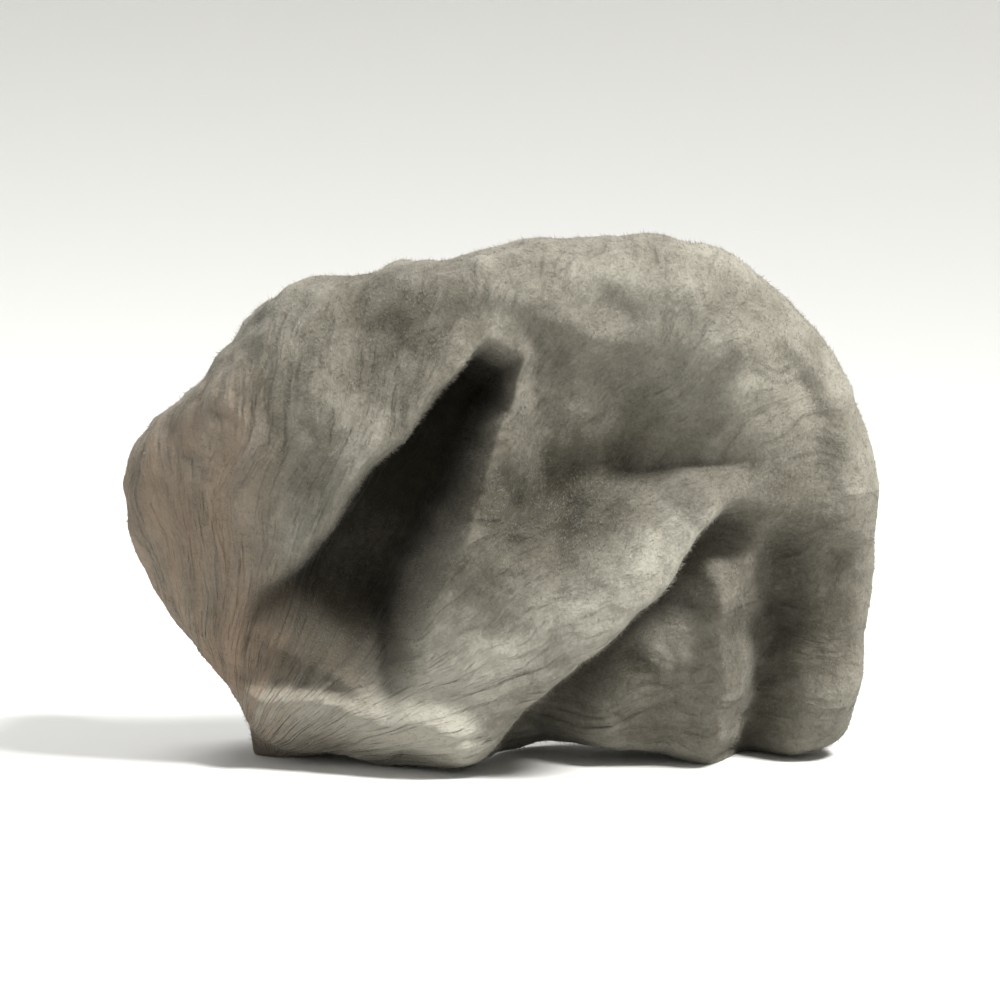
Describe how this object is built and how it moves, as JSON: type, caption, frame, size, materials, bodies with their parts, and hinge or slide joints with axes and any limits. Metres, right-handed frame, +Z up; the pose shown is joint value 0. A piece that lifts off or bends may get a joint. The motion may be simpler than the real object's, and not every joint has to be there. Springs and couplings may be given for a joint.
{
  "type": "dried wood ear mushroom",
  "caption": "Dried wood ear mushroom: a thin crumpled ear with a felted grey outside, curled round a dark hollow that opens at the back.",
  "frame": {"origin": "on the ground, below the middle of the bounding box", "axes": "+Z up, -Y towards the folded front side, +X to the right seen from the front"},
  "size_m": [0.0356, 0.0214, 0.0248],
  "materials": {
    "ear_skin": "dry matt grey felt outside, smooth dark brown-black skin inside"
  },
  "bodies": {
    "root": {"wood_ear": "ear_skin"}
  },
  "joints": []
}
